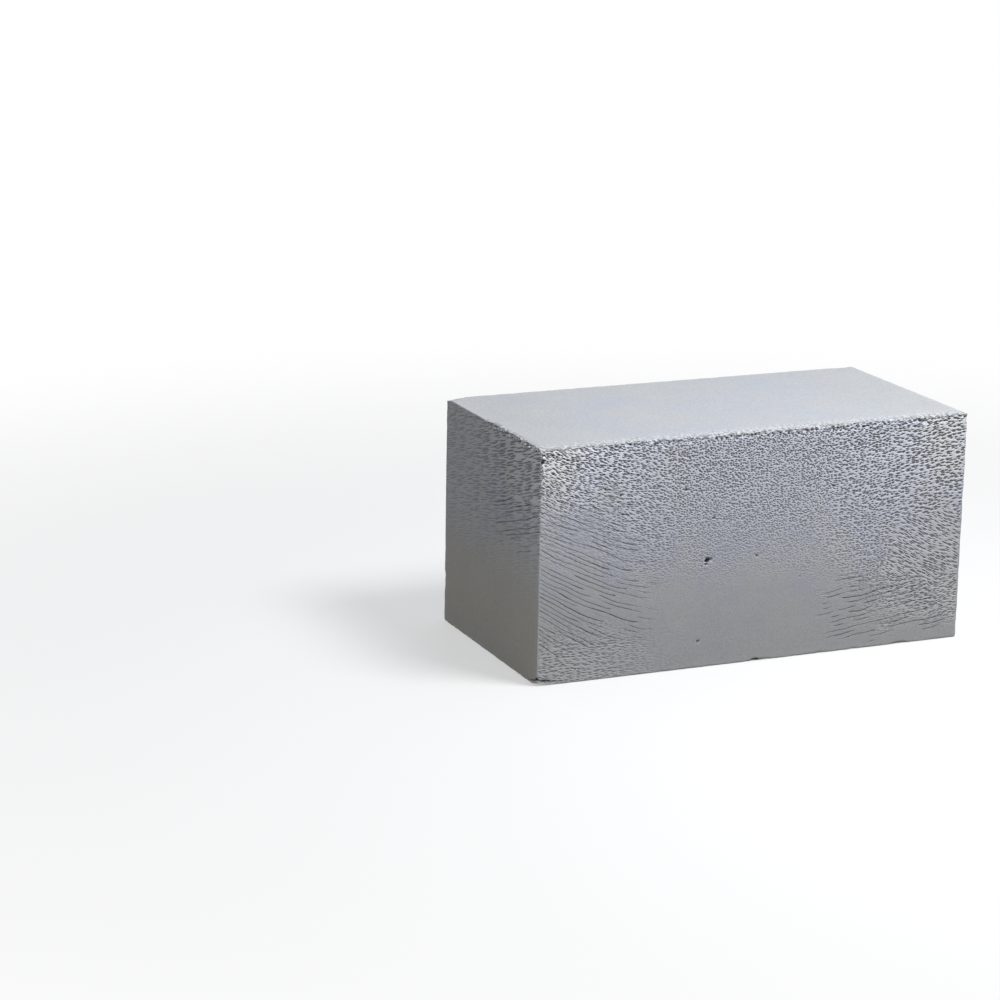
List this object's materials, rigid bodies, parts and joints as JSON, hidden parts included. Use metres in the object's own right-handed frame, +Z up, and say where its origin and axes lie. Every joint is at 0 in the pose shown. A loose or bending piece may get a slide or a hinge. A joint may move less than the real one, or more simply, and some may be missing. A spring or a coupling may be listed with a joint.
{
  "type": "solid concrete block",
  "caption": "Solid concrete building block with a square cross-section, square-edged and cast in one piece, laid in courses to build walls.",
  "frame": {"origin": "middle of the bottom bed face, which the block lies on", "axes": "+X along the length towards the right end, +Y from the front face to the back face, +Z up"},
  "size_m": [0.4, 0.2, 0.2],
  "materials": {
    "concrete": "bare cement-grey concrete, matt, fine-pored, with worn pale edges"
  },
  "bodies": {
    "root": {"block": "concrete"}
  },
  "joints": []
}
